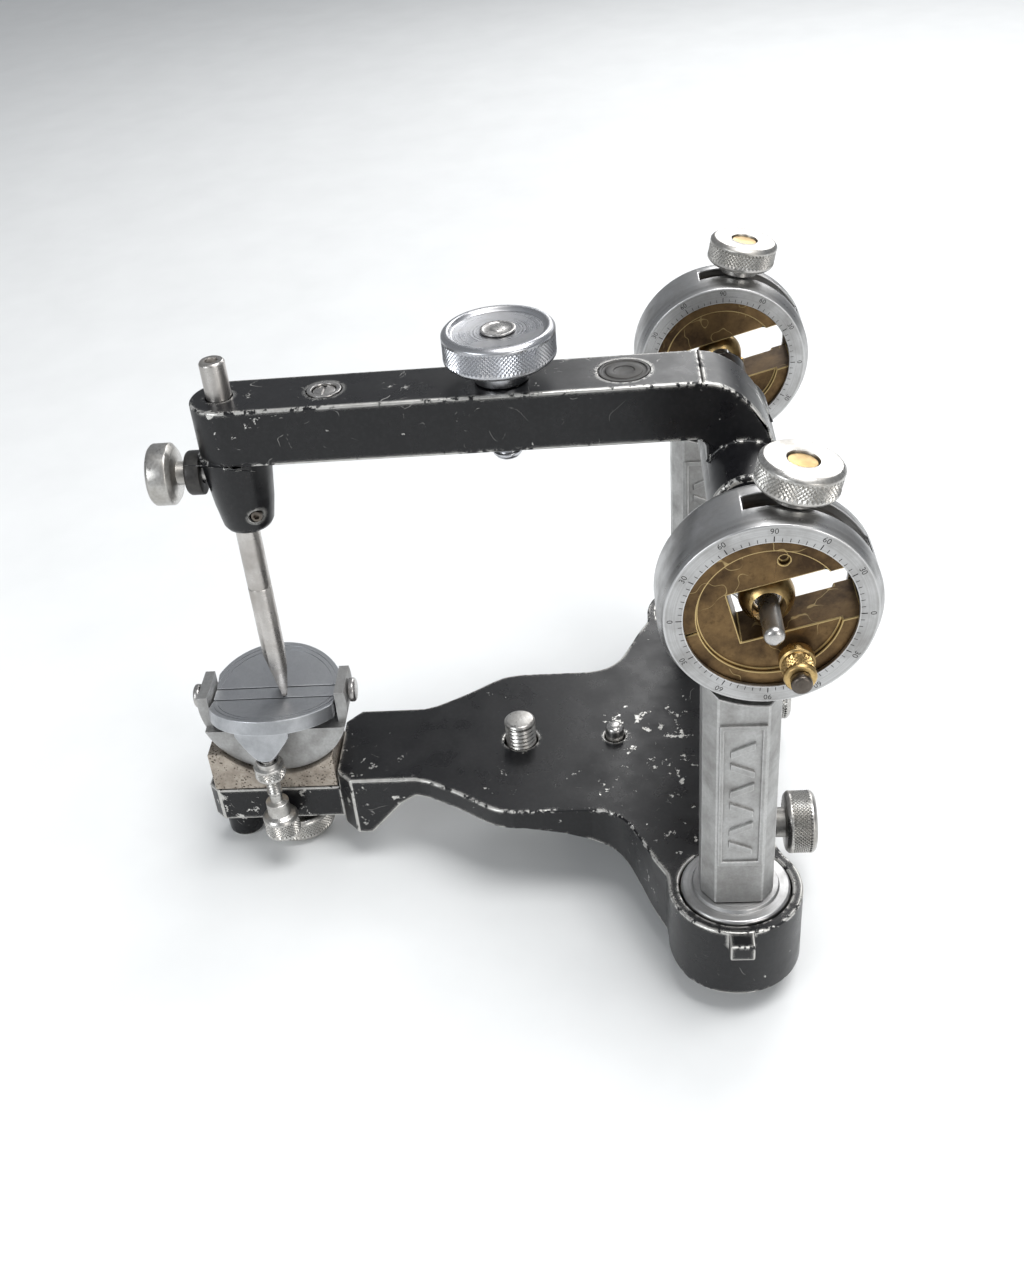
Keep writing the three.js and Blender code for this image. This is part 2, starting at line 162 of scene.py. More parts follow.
CAMERA_PLACE = (0.29777, 0.0289, 0.27198)
CAMERA_AZIMUTH = math.radians(98.07)
CAMERA_ELEVATION = math.radians(37.39)
CAMERA_ROLL = math.radians(-7.22)
camera = bpy.data.objects.new("camera", bpy.data.cameras.new("camera"))
bpy.context.scene.collection.objects.link(camera)
bpy.context.scene.camera = camera
back = Vector((math.sin(CAMERA_AZIMUTH) * math.cos(CAMERA_ELEVATION),
               -math.cos(CAMERA_AZIMUTH) * math.cos(CAMERA_ELEVATION), math.sin(CAMERA_ELEVATION)))
level = Vector((0, 0, 1)).cross(back).normalized()
upward = back.cross(level)
across = level * math.cos(CAMERA_ROLL) + upward * math.sin(CAMERA_ROLL)
upward = back.cross(across)
facing = Matrix((across, upward, back)).transposed().to_4x4()
camera.matrix_world = Matrix.Translation(CAMERA_PLACE) @ facing
camera.data.lens = 40.36
camera.data.sensor_width = 36
camera.data.shift_x = 0.0469
camera.data.shift_y = 0.0469
camera.data.clip_start = 0.01


# ---- Lower frame ------------------------------------------------------------------------
# A flat iron casting: a narrow tongue in front, a wide pad for the lower plate, and two arms
# that end in round bosses. It is stoved in black enamel, which has chipped and worn along
# its edges down to bright metal; the bright metal along the edges is also a painted highlight.
CAD_SLOTS = {row["node"]: row["material_slot"] for row in frame["record"]["subparts"]}


def middle(node):
    """The centre of a CAD node's box, in millimetres."""
    low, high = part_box(node)
    return (low + high) / 2 / MM


def arc(cx, cy, radius, start, end, steps):
    """Points on a round stretch of an outline, with its angles in degrees."""
    angles = [math.radians(start + (end - start) * i / steps) for i in range(steps + 1)]
    return [(cx + radius * math.cos(a), cy + radius * math.sin(a)) for a in angles]


def flowing(points, steps=5):
    """A smooth curve through the points."""
    path = [points[0], *points, points[-1]]
    curve = []
    for a, b, c, d in zip(path, path[1:], path[2:], path[3:]):
        for i in range(steps):
            t = i / steps
            curve.append(tuple(0.5 * (2 * q + (r - p) * t + (2 * p - 5 * q + 4 * r - s) * t * t
                                      + (3 * q - p - 3 * r + s) * t ** 3)
                               for p, q, r, s in zip(a, b, c, d)))
    return curve + [points[-1]]


def remove(piece):
    bpy.data.objects.remove(piece)


def outward(piece):
    """Turns every face of a closed mesh outwards."""
    mesh = bmesh.new()
    mesh.from_mesh(piece.data)
    bmesh.ops.recalc_face_normals(mesh, faces=mesh.faces)
    mesh.to_mesh(piece.data)
    mesh.free()
    return piece


def slab(outline, low, high, along="Z"):
    """An outline drawn across an axis and given its thickness along it: X takes (y, z) points,
    Y takes (z, x) points and Z takes (x, y) points."""
    order = {"X": lambda a, b, h: (h, a, b), "Y": lambda a, b, h: (b, h, a), "Z": lambda a, b, h: (a, b, h)}
    count = len(outline)
    points = [order[along](a, b, h) for h in (low, high) for a, b in outline]
    faces = [list(range(count))[::-1], list(range(count, 2 * count))]
    faces += [(i, (i + 1) % count, count + (i + 1) % count, count + i) for i in range(count)]
    return outward(mesh_piece("slab", points, faces))


def rod(radius, low, high):
    """The profile of a plain round bar or bore."""
    return [(0, low), (radius, low), (radius, high), (0, high)]


def block(x0, x1, y0, y1, z0, z1):
    return slab([(x0, y0), (x1, y0), (x1, y1), (x0, y1)], z0, z1)


def turn_axis(along):
    """The matrix that lays a piece turned about Z along another axis."""
    if along == "X":
        return Matrix(((0, 0, 1), (1, 0, 0), (0, 1, 0))).to_4x4()
    if along == "Y":
        return Matrix(((0, 1, 0), (0, 0, 1), (1, 0, 0))).to_4x4()
    return Matrix.Identity(4)


def turned(profile, place=(0, 0, 0), along="Z", steps=64, closed=False, weights=None):
    """A lathe shape from (radius, height) points. A profile that isn't closed starts and ends on
    the axis. Weights mark the rows that a knurl or a thread is cut in."""
    points, rows, weight = [], [], []
    for index, (radius, height) in enumerate(profile):
        count = 1 if radius < 1e-6 else steps
        rows.append(range(len(points), len(points) + count))
        for i in range(count):
            a = 2 * math.pi * i / steps
            points.append((radius * math.cos(a), radius * math.sin(a), height))
            weight.append(weights[index] if weights else (0.0, 0.0))
    faces = []
    for low, high in zip(rows, [*rows[1:], rows[0]] if closed else rows[1:]):
        for i in range(steps):
            j = (i + 1) % steps
            ring = [low[i % len(low)], low[j % len(low)], high[j % len(high)], high[i % len(high)]]
            ring = list(dict.fromkeys(ring))
            if len(ring) > 2:
                faces.append(ring)
    piece = outward(mesh_piece("turned", points, faces))
    if weights:
        for number, name in enumerate(("knurled", "threaded")):
            band = piece.data.attributes.new(name, "FLOAT", "POINT")
            band.data.foreach_set("value", [w[number] for w in weight])
    piece.data.transform(turn_axis(along))
    piece.data.transform(Matrix.Translation(Vector(place) * MM))
    return piece


def baked(piece):
    """The piece as its modifiers leave it, as a plain mesh."""
    bpy.context.view_layer.update()
    evaluated = piece.evaluated_get(bpy.context.evaluated_depsgraph_get())
    result = bpy.data.meshes.new_from_object(evaluated)
    piece.modifiers.clear()
    piece.data = result
    return piece


def joined(piece, *tools, how="UNION"):
    """Adds each tool to the piece, or cuts or crosses it with each, and removes the tool."""
    for tool in tools:
        step = piece.modifiers.new("join", "BOOLEAN")
        step.operation = how
        step.solver = "MANIFOLD"
        step.object = tool
        baked(piece)
        remove(tool)
    return piece


def cut(piece, *tools):
    return joined(piece, *tools, how="DIFFERENCE")


def eased(piece, width=0.4, segments=2, angle=32, clamped=False):
    """Rounds the sharp edges a little, as casting and deburring do."""
    mesh = bmesh.new()
    mesh.from_mesh(piece.data)
    bmesh.ops.remove_doubles(mesh, verts=mesh.verts, dist=2e-6)
    mesh.to_mesh(piece.data)
    mesh.free()
    piece.data.materials.clear()
    for which in ("faces", "edges"):
        piece.data.materials.append(None)
    step = piece.modifiers.new("ease", "BEVEL")
    step.material = 1
    step.width = width * MM
    step.segments = segments
    step.limit_method = "ANGLE"
    step.angle_limit = math.radians(angle)
    step.use_clamp_overlap = clamped
    baked(piece)
    # The bevel faces are kept as 'rim'. The finishes paint them as edge wear and as a painted highlight along
    # the edges.
    rim = piece.data.attributes.new("rim", "FLOAT", "FACE")
    rim.data.foreach_set("value", [float(face.material_index) for face in piece.data.polygons])
    piece.data.polygons.foreach_set("material_index", [0] * len(piece.data.polygons))
    return piece


SLIVER = 0.03 * MM


def levelled(piece):
    """Shades flat faces flat and rounded edges round."""
    piece.data.shade_smooth()
    piece.data.set_sharp_from_angle(angle=math.radians(40))
    shape = bmesh.new()
    shape.from_mesh(piece.data)
    for face in shape.faces:
        longest = max(edge.calc_length() for edge in face.edges)
        if face.calc_area() < longest * SLIVER:
            for edge in face.edges:
                edge.smooth = True
    shape.to_mesh(piece.data)
    shape.free()
    step = piece.modifiers.new("level", "WEIGHTED_NORMAL")
    step.keep_sharp = True
    return baked(piece)


def mirrored(piece):
    """A copy of the piece on the other side of the instrument."""
    copy = bpy.data.objects.new(piece.name + "_copy", piece.data.copy())
    bpy.context.scene.collection.objects.link(copy)
    copy.data.transform(Matrix.Diagonal((-1, 1, 1, 1)))
    copy.data.flip_normals()
    return copy


def fitted(piece, node, finish, smooth=38):
    """Gives the piece its name, finish and shading, and puts it in the CAD node's place."""
    piece.name = node + "_finished"
    piece.data.name = piece.name
    piece.data.materials.clear()
    piece.data.materials.append(finish)
    if smooth:
        piece.data.shade_smooth()
        piece.data.set_sharp_from_angle(angle=math.radians(smooth))
    else:
        levelled(piece)
    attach(piece, frame["nodes"][node]["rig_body"])
    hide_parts(node)
    return piece


def fitted_pair(piece, node, finish, smooth=38):
    other = mirrored(piece)
    fitted(piece, node + "_right", finish, smooth)
    fitted(other, node + "_left", finish, smooth)


def edge_wear_and_highlight(tree, reach, start=0.012, end=0.14):
    """How close a point is to an outside or inside edge, from 0 to 1: a mask for edge wear that also paints a
    highlight along the edges.
    """
    rounded = add(tree, "ShaderNodeBevel", {"Radius": reach * MM}, samples=3)
    straight = add(tree, "ShaderNodeNewGeometry", out=1)
    likeness = add(tree, "ShaderNodeVectorMath", {0: rounded, 1: straight}, out=1, operation="DOT_PRODUCT")
    rim = add(tree, "ShaderNodeAttribute", out=2, attribute_name="rim")
    return maths(tree, "MAXIMUM", rim, ramp(tree, maths(tree, "SUBTRACT", 1.0, likeness), start, end))


def hair_lines(tree, where, scale, width, mask_scale, cover):
    """Short curved scratches: thin contour lines of a slow noise, broken up by another."""
    field = noise(tree, where, scale, 1.5, 0.5)
    line = ramp(tree, maths(tree, "ABSOLUTE", maths(tree, "SUBTRACT", field, 0.5)), width, width * 0.4)
    patch = ramp(tree, noise(tree, where, mask_scale, 3.0), cover, cover + 0.04)
    return maths(tree, "MULTIPLY", line, patch)


def chipped_enamel(name):
    """Black enamel over bright metal, chipped, and bare along its edges, where the bright metal is partly
    wear and partly a painted highlight.
    """
    finish, tree, shader, where = new_finish(name, (0.006, 0.006, 0.007), 0.0, 0.3)
    shader.inputs["Specular IOR Level"].default_value = 0.38
    # Bright metal along every rounded edge: edge wear, and also a painted highlight.
    edge = edge_wear_and_highlight(tree, 1.5, 0.004, 0.06)
    ragged = noise(tree, where, 520.0, 7.0, 0.7)
    slow = noise(tree, where, 42.0, 3.0)
    limit = ramp(tree, slow, 0.36, 0.62, 0.68, 0.42)
    bare_edge_and_highlight = ramp(tree, maths(tree, "SUBTRACT", maths(tree, "MULTIPLY", edge, maths(
        tree, "ADD", ragged, 0.12)), limit), 0.0, 0.03)
    chips = ramp(tree, maths(tree, "ADD", noise(tree, where, 260.0, 9.0, 0.68),
                             ramp(tree, noise(tree, where, 24.0, 2.0), 0.46, 0.66, 0.0, 0.12)),
                 0.7, 0.706)
    lines = maths(tree, "MAXIMUM", hair_lines(tree, where, 150.0, 0.004, 330.0, 0.6),
                  hair_lines(tree, where, 60.0, 0.0016, 200.0, 0.58))
    rubbed = ramp(tree, noise(tree, where, 26.0, 2.0), 0.5, 0.58)
    bare = maths(tree, "MAXIMUM", maths(tree, "MAXIMUM", bare_edge_and_highlight, chips),
                 maths(tree, "MULTIPLY", maths(tree, "MULTIPLY", lines, rubbed), 0.6))
    dust = ramp(tree, noise(tree, where, 900.0, 5.0, 0.7), 0.45, 0.75)
    enamel = mixed(tree, maths(tree, "MULTIPLY", dust, 0.45), (0.005, 0.005, 0.006, 1),
                   (0.02, 0.02, 0.022, 1))
    metal = mixed(tree, ragged, (0.3, 0.29, 0.27, 1), (0.78, 0.77, 0.74, 1))
    tree.links.new(mixed(tree, bare, enamel, metal), shader.inputs["Base Color"])
    tree.links.new(maths(tree, "MULTIPLY", bare, 0.75), shader.inputs["Metallic"])
    gloss = ramp(tree, noise(tree, where, 120.0, 6.0), 0.3, 0.7, 0.22, 0.4)
    tree.links.new(gloss, shader.inputs["Roughness"])
    skin = maths(tree, "MULTIPLY", noise(tree, where, 700.0, 3.0), 0.35)
    bumped(tree, shader, maths(tree, "SUBTRACT", skin, bare), 0.06 * MM, 0.6)
    return finish


def together(name, pieces):
    """Several meshes as one."""
    mesh = bmesh.new()
    for piece in pieces:
        mesh.from_mesh(piece.data)
        remove(piece)
    result = mesh_piece(name, [], [])
    mesh.to_mesh(result.data)
    mesh.free()
    return result


frame_enamel = chipped_enamel("chipped_black_enamel")
FRAME_TOP = 28
LEG_BACK = -136.3
POST_LOCK_X = 27
POST_LOCK_Z = 20
LUG_HALF = 2.8
BOSS = middle("turntable_right")
REAR = middle("condylar_axle")[1]
half_outline = [(10.5, -105), (15, -101), (15, -83.5)]
half_outline += flowing([(16.2, -80), (18.8, -75.5), (22, -70.5), (25.6, -65.6), (28, -61.5), (29, -57)])
half_outline += flowing([(29, -38), (30.4, -33), (34, -29), (40, -26), (47, -23), (52.5, -20.2)])
half_outline += arc(BOSS[0], BOSS[1] - REAR, 15.5, -95, 128, 48)
half_outline += [(41, 5.4), (30, 5)]
half_outline = [(x, y + REAR) for x, y in half_outline]
whole_outline = half_outline + [(-x, y) for x, y in reversed(half_outline)]
belly = [(-106, 9.5), (-97, 9.5), (-88, 19.5), (-84, 22), (-55, 22), (-45, 20), (-31, 15), (-24, 10.5),
         (-16, 7.5), (13, 7.5), (13, FRAME_TOP), (-106, FRAME_TOP)]
lower = slab(whole_outline, 0, FRAME_TOP)
lower = joined(lower, slab([(y + REAR, z) for y, z in belly], -80, 80, "X"), how="INTERSECT")
LEDGE = [(9.5, -104.4), (-9.5, -104.4), (-9.5, -139), (-6.5, -141.9), (6.5, -141.9), (9.5, -139)]
joined(lower, slab([(x, y + REAR) for x, y in LEDGE], 11, 21.5))
joined(lower, turned([(0, 0), (4.2, 0), (4.8, 0.9), (5.2, 11.3), (0, 11.3)], (0, REAR + LEG_BACK, 0)))
for side in (1, -1):
    recess = [(0, 11.6), (5.4, 11.6), (5.4, 24), (13, 24), (13, 29), (0, 29)]
    cut(lower, turned(recess, (side * BOSS[0], BOSS[1], 0), steps=96))
    cut(lower, turned(rod(2.8, -4.6, 8), (side * POST_LOCK_X, REAR, POST_LOCK_Z), "Y"))
for radius, bottom, top, y in ((4.5, 20, 29, -56), (2.7, 22.2, 29, -31), (3.3, 9, 22, -120.5)):
    cut(lower, turned(rod(radius, bottom, top), (0, REAR + y, 0)))
casting = [eased(lower, 0.55, 3)]
for side in (1, -1):
    lug = sorted((side * 71.4, side * 76))
    casting.append(eased(block(*lug, BOSS[1] - LUG_HALF, BOSS[1] + LUG_HALF, 23.5, FRAME_TOP - 0.1), 0.45))
lower = together("lower_casting", casting)
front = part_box("lower_frame")[0][1]
for corner in lower.data.vertices:
    corner.co.y = max(corner.co.y, front)
fitted(lower, "lower_frame", frame_enamel, None)


# ---- Feet, dowel and thumbscrews under the lower frame -----------------------------------
# Two black turned feet are pressed under the bosses. A steel dowel and a threaded stud stand
# up from the pad to take the lower plate, and each thumbscrew has a diamond-knurled rim.
KNURL_PITCH = 0.95
KNURL_DEPTH = 0.3
THREAD_DEPTH = 0.42


def softened(profile, ease=0.25, closed=False):
    """The profile with each corner turned off a little."""
    count = len(profile)
    result = []
    for i, corner in enumerate(profile):
        if not closed and i in (0, count - 1):
            result.append(corner)
            continue
        here = Vector(corner)
        before = Vector(profile[i - 1]) - here
        after = Vector(profile[(i + 1) % count]) - here
        reach = min(ease, 0.35 * before.length, 0.35 * after.length)
        first = here + before.normalized() * reach
        last = here + after.normalized() * reach
        result += [tuple(first), tuple(first * 0.25 + here * 0.5 + last * 0.25), tuple(last)]
    return result


def with_rows(profile, bands):
    """Adds the rows that a knurl or thread needs, and returns the profile and the row weights.
    Each band is (which, start, end, step), where which is 0 for a knurl and 1 for a thread."""
    result, weights = [], []
    for i, (radius, height) in enumerate(profile):
        result.append((radius, height))
        weights.append((0.0, 0.0))
        following = profile[(i + 1) % len(profile)]
        if abs(following[0] - radius) > 1e-6:
            continue
        for which, start, end, step in bands:
            low, high = sorted((height, following[1]))
            if not low - 1e-6 <= start < end <= high + 1e-6:
                continue
            count = max(2, round((end - start) / step))
            heights = [start + (end - start) * k / count for k in range(count + 1)]
            for k, z in enumerate(heights if following[1] > height else heights[::-1]):
                inside = 0 < k < count
                result.append((radius, z))
                weights.append((float(inside and which == 0), float(inside and which == 1)))
    return result, weights


def pattern_tree(name, threaded):
    """A node tree that cuts a diamond knurl or a screw thread into the marked rows of a blank."""
    tree = bpy.data.node_groups.new(name, "GeometryNodeTree")
    for label, kind in (("Blank", "NodeSocketGeometry"), ("Depth", "NodeSocketFloat"),
                        ("Columns", "NodeSocketFloat"), ("Row", "NodeSocketFloat"),
                        ("Start", "NodeSocketFloat"), ("Finish", "NodeSocketMaterial")):
        tree.interface.new_socket(name=label, in_out="INPUT", socket_type=kind)
    tree.interface.new_socket(name="Piece", in_out="OUTPUT", socket_type="NodeSocketGeometry")
    given = tree.nodes.new("NodeGroupInput").outputs
    place = add(tree, "GeometryNodeInputPosition")
    x, y, z = tree.nodes.new("ShaderNodeSeparateXYZ").outputs
    tree.links.new(place, x.node.inputs[0])
    angle = maths(tree, "DIVIDE", maths(tree, "ARCTAN2", y, x), 2 * math.pi)
    rows = maths(tree, "DIVIDE", maths(tree, "SUBTRACT", z, given["Start"]), given["Row"])
    if threaded:
        turn = maths(tree, "FRACT", maths(tree, "ADD", maths(tree, "SUBTRACT", rows, angle), 40.0))
        low = maths(tree, "SUBTRACT", 1.0, maths(tree, "ABSOLUTE", maths(
            tree, "MULTIPLY_ADD", turn, 2.0, -1.0)))
    else:
        columns = maths(tree, "ROUND", maths(tree, "MULTIPLY", angle, given["Columns"]))
        low = maths(tree, "FLOORED_MODULO", maths(tree, "ADD", columns, maths(tree, "ROUND", rows)), 2.0)
    band = add(tree, "GeometryNodeInputNamedAttribute", {0: "threaded" if threaded else "knurled"})
    inward = maths(tree, "MULTIPLY", maths(tree, "MULTIPLY", low, band),
                   maths(tree, "MULTIPLY", given["Depth"], -1.0))
    flat = add(tree, "ShaderNodeCombineXYZ", {0: x, 1: y})
    radial = add(tree, "ShaderNodeVectorMath", {0: flat}, operation="NORMALIZE")
    offset = add(tree, "ShaderNodeVectorMath", {0: radial, "Scale": inward}, operation="SCALE")
    moved = add(tree, "GeometryNodeSetPosition", {"Geometry": given["Blank"], "Offset": offset})
    if not threaded:
        moved = add(tree, "GeometryNodeTriangulate", {0: moved}, quad_method="SHORTEST_DIAGONAL")
    real = add(tree, "GeometryNodeRealizeInstances", {"Geometry": moved})
    painted = add(tree, "GeometryNodeSetMaterial", {"Geometry": real, "Material": given["Finish"]})
    tree.links.new(painted, tree.nodes.new("NodeGroupOutput").inputs[0])
    return tree


KNURL_TREE = pattern_tree("diamond_knurl", False)
THREAD_TREE = pattern_tree("screw_thread", True)


def worked(piece, tree, **inputs):
    """The piece after a node tree has worked on it, as a plain mesh."""
    step = piece.modifiers.new("pattern", "NODES")
    step.node_group = tree
    for item in tree.interface.items_tree:
        label = item.name.lower()
        if item.in_out == "INPUT" and label in inputs:
            step[item.identifier] = inputs[label]
    return baked(piece)


def screw_piece(profile, place, finish, along="Z", knurl=None, thread=None, ease=0.25, closed=False,
                steps=64):
    """A turned piece. Knurl is the (start, end) of its knurled band along the axis, and thread the
    (start, end, pitch) of its thread."""
    bands = []
    columns = steps
    if knurl:
        rim = max(radius for radius, height in profile if knurl[0] - 1 < height < knurl[1] + 1)
        columns = 2 * round(2 * math.pi * rim / KNURL_PITCH)
        rows = max(4, round((knurl[1] - knurl[0]) / (KNURL_PITCH / 2)))
        bands.append((0, *knurl, (knurl[1] - knurl[0]) / rows))
    if thread:
        bands.append((1, thread[0], thread[1], thread[2] / 8))
    rows_of, weights = with_rows(softened(profile, ease, closed), bands)
    piece = turned(rows_of, steps=columns, closed=closed, weights=weights)
    if knurl:
        worked(piece, KNURL_TREE, depth=KNURL_DEPTH * MM, columns=float(columns), row=bands[0][3] * MM,
               start=knurl[0] * MM, finish=finish)
    if thread:
        worked(piece, THREAD_TREE, depth=THREAD_DEPTH * MM, columns=float(columns), row=thread[2] * MM,
               start=thread[0] * MM, finish=finish)
    piece.data.transform(turn_axis(along))
    piece.data.transform(Matrix.Translation(Vector(place) * MM))
    return piece


def low_end(node, along="Z"):
    """The point where a turned CAD node's axis leaves its lower end."""
    place = middle(node)
    axis = "XYZ".index(along)
    place[axis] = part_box(node)[0][axis] / MM
    return place


def turned_to_fit(node, profile, finish, along="Z", **settings):
    """A turned piece on its CAD node's axis, or one on each side where the node comes in a pair."""
    paired = node + "_right" in CAD_SLOTS
    place = low_end(node + "_right" if paired else node, along)
    piece = screw_piece(profile, place, finish, along, **settings)
    (fitted_pair if paired else fitted)(piece, node, finish)


def blackened(name):
    finish, tree, shader, where = new_finish(name, (0.02, 0.019, 0.018), 0.2, 0.5)
    grime = ramp(tree, noise(tree, where, 260.0, 6.0, 0.65), 0.35, 0.7)
    tree.links.new(mixed(tree, grime, (0.012, 0.011, 0.011, 1), (0.055, 0.052, 0.048, 1)),
                   shader.inputs["Base Color"])
    tree.links.new(ramp(tree, grime, 0.0, 1.0, 0.36, 0.62), shader.inputs["Roughness"])
    bumped(tree, shader, noise(tree, where, 1100.0, 4.0), 0.05 * MM, 0.5)
    return finish


def bright_metal(name, colour, dull, roughness=0.24, stain=0.35, grain=(1.0, 1.0, 1.0), bump=0.03,
                 metallic=1.0):
    """A bare metal with edges painted brighter, partly as rubbed metal and partly as a painted highlight,
    with dull stains and a grain stretched along an axis.
    """
    finish, tree, shader, where = new_finish(name, colour, metallic, roughness)
    edge = edge_wear_and_highlight(tree, 0.35, 0.02, 0.3)
    tarnish = ramp(tree, noise(tree, where, 130.0, 8.0, 0.62), 0.4, 0.68)
    stretched = add(tree, "ShaderNodeMapping", {"Vector": where, "Scale": grain})
    fine = noise(tree, stretched, 1500.0, 4.0, 0.6)
    worn = maths(tree, "MULTIPLY", tarnish, stain)
    base = mixed(tree, worn, (*colour, 1), (*dull, 1))
    # Edges painted brighter than the metal: partly rubbed metal, partly a painted highlight.
    base = mixed(tree, maths(tree, "MULTIPLY", edge, 0.6), base, (*[min(1, c * 1.3) for c in colour], 1))
    base = mixed(tree, ramp(tree, fine, 0.35, 0.62, 0.28, 0.0), base, (*dull, 1))
    tree.links.new(base, shader.inputs["Base Color"])
    rough = maths(tree, "ADD", ramp(tree, tarnish, 0.0, 1.0, roughness, roughness + 0.2),
                  ramp(tree, fine, 0.3, 0.7, -0.05, 0.06))
    tree.links.new(rough, shader.inputs["Roughness"])
    bumped(tree, shader, fine, bump * MM, 0.5)
    return finish


foot_finish = blackened("blackened_foot")
knurl_finish = bright_metal("knurled_nickel", (0.6, 0.59, 0.57), (0.2, 0.18, 0.15), 0.27, 0.5)
steel_finish = bright_metal("ground_steel", (0.55, 0.54, 0.53), (0.25, 0.23, 0.21), 0.22, 0.4, (1, 1, 14))
turned_to_fit("rear_foot", [(0, 0), (7.4, 0), (8.3, 0.9), (8.3, 7.2), (0, 7.2)], foot_finish, ease=0.4)
dowel = [(0, 0), (2.4, 0), (2.4, 8.1), (2.1, 8.8), (1.3, 9.2), (0, 9.3)]
turned_to_fit("locating_dowel", dowel, steel_finish, ease=0.3)
stud = [(0, 0), (9.1, 0), (9.9, 0.8), (9.9, 7.2), (9.1, 8), (5.5, 8), (5.5, 14.2), (4.1, 14.2),
        (4.1, 27.9), (3.5, 28.5), (0, 28.5)]
turned_to_fit("lower_mounting_screw", stud, knurl_finish, knurl=(1.1, 6.9), thread=(16, 27.5, 1.25))
clamp = [(0, 0), (9, 0), (9.8, 0.9), (9.8, 6), (9, 6.9), (5, 6.9), (5, 9.2), (3, 9.2), (3, 19.7), (0, 19.7)]
turned_to_fit("guide_clamp_screw", clamp, knurl_finish, knurl=(1.2, 5.7))
lock = [(0, 0), (2.5, 0), (2.5, 12.2), (3.8, 12.2), (3.8, 14.7), (7.1, 14.7), (7.9, 15.5), (7.9, 21.2),
        (7.1, 22), (0, 22)]
turned_to_fit("post_lock_screw", lock, knurl_finish, "Y", knurl=(15.8, 20.9))


# ---- Incisal guide ----------------------------------------------------------------------
# A pitted block sits on the front ledge, and a cradle rocks in its saddle between two small
# pivot screws. It carries a steel strip and two hinged half-round wings, each set by a
# knurled screw with a lock nut.
ROCKER = middle("front_pivot_screw")
ROCKER_Y = middle("table_strip")[1]
ROCKER_Z = ROCKER[2]
TABLE_REACH = 16.5
TABLE_TILT = math.radians(15)


def pitted_metal():
    """Beige-grey cast metal with round pits and dark grime in them."""
    finish, tree, shader, where = new_finish("pitted_casting", (0.42, 0.37, 0.31), 0.65, 0.5)
    pits = add(tree, "ShaderNodeTexVoronoi", {"Vector": where, "Scale": 1300.0, "Randomness": 1.0})
    uneven = ramp(tree, noise(tree, where, 300.0, 5.0), 0.4, 0.6, 0.18, -0.1)
    pit = ramp(tree, maths(tree, "ADD", pits, uneven), 0.18, 0.36)
    mottle = noise(tree, where, 160.0, 8.0, 0.65)
    body = mixed(tree, ramp(tree, mottle, 0.35, 0.65), (0.27, 0.23, 0.19, 1), (0.56, 0.5, 0.43, 1))
    tree.links.new(mixed(tree, pit, (0.1, 0.08, 0.06, 1), body), shader.inputs["Base Color"])
    tree.links.new(ramp(tree, pit, 0.0, 1.0, 0.7, 0.42), shader.inputs["Roughness"])
    bumped(tree, shader, maths(tree, "ADD", pit, mottle), 0.16 * MM, 0.7)
    return finish


block_finish = pitted_metal()
SADDLE = 20.2
SADDLE_BACK = 14.4
BLOCK_FRONT = 19.5
BLOCK_TOP = 34
drop = ROCKER_Z - BLOCK_TOP
first_angle = math.degrees(math.atan2(math.sqrt(SADDLE ** 2 - SADDLE_BACK ** 2), SADDLE_BACK))
last_angle = 180 - math.degrees(math.atan2(drop, math.sqrt(SADDLE ** 2 - drop ** 2)))
saddle_curve = arc(ROCKER_Y, ROCKER_Z, SADDLE, -first_angle, -last_angle, 36)
outline = [(ROCKER_Y - BLOCK_FRONT, 21.8), (ROCKER_Y + SADDLE_BACK, 21.8), *saddle_curve,
           (ROCKER_Y - BLOCK_FRONT, BLOCK_TOP)]
fitted(eased(slab(outline, -9.5, 9.5, "X"), 0.45, 3), "guide_block", block_finish, None)

cast_finish = bright_metal("tumbled_casting", (0.46, 0.46, 0.455), (0.2, 0.19, 0.18), 0.38, 0.55,
                           bump=0.09, metallic=0.92)
EAR_LIFT = 10.2
CRADLE = 19.8
boat = slab(arc(ROCKER_Y, ROCKER_Z, CRADLE, -18, -162, 40), -8, 8, "X")
EAR_INSIDE = 16.9
CRADLE_FLOOR = ROCKER_Z - 6.3
EAR_TOP = ROCKER_Z + 3.5
cut(boat, block(-9, 9, ROCKER_Y - 18, ROCKER_Y + 18, CRADLE_FLOOR, ROCKER_Z + 9))
ear_shape = arc(ROCKER_Y, ROCKER_Z, CRADLE, EAR_LIFT, -180 - EAR_LIFT, 50)
ear_shape += [(ROCKER_Y - EAR_INSIDE, EAR_TOP), (ROCKER_Y - EAR_INSIDE, CRADLE_FLOOR),
              (ROCKER_Y + EAR_INSIDE, CRADLE_FLOOR), (ROCKER_Y + EAR_INSIDE, EAR_TOP)]
joined(boat, slab(ear_shape, -6, 6, "X"))
fitted(eased(boat, 0.3, 2, clamped=True), "guide_cradle", cast_finish, None)

table_finish = bright_metal("satin_table", (0.5, 0.51, 0.53), (0.26, 0.27, 0.28), 0.34, 0.6, (1, 9, 1), 0.03)
strip = block(-2.2, 2.2, ROCKER_Y - TABLE_REACH, ROCKER_Y + TABLE_REACH, 41.1, ROCKER_Z)
fitted(eased(strip, 0.2), "table_strip", table_finish, None)
front_pivot = [(0, 0), (2.6, 0), (3.2, 0.5), (3.2, 1.7), (0, 1.7)]
turned_to_fit("front_pivot_screw", front_pivot, steel_finish, "Y")
rear_pivot = [(0, 0), (3.2, 0), (3.2, 1.2), (2.6, 1.7), (0, 1.7)]
turned_to_fit("rear_pivot_screw", rear_pivot, steel_finish, "Y")

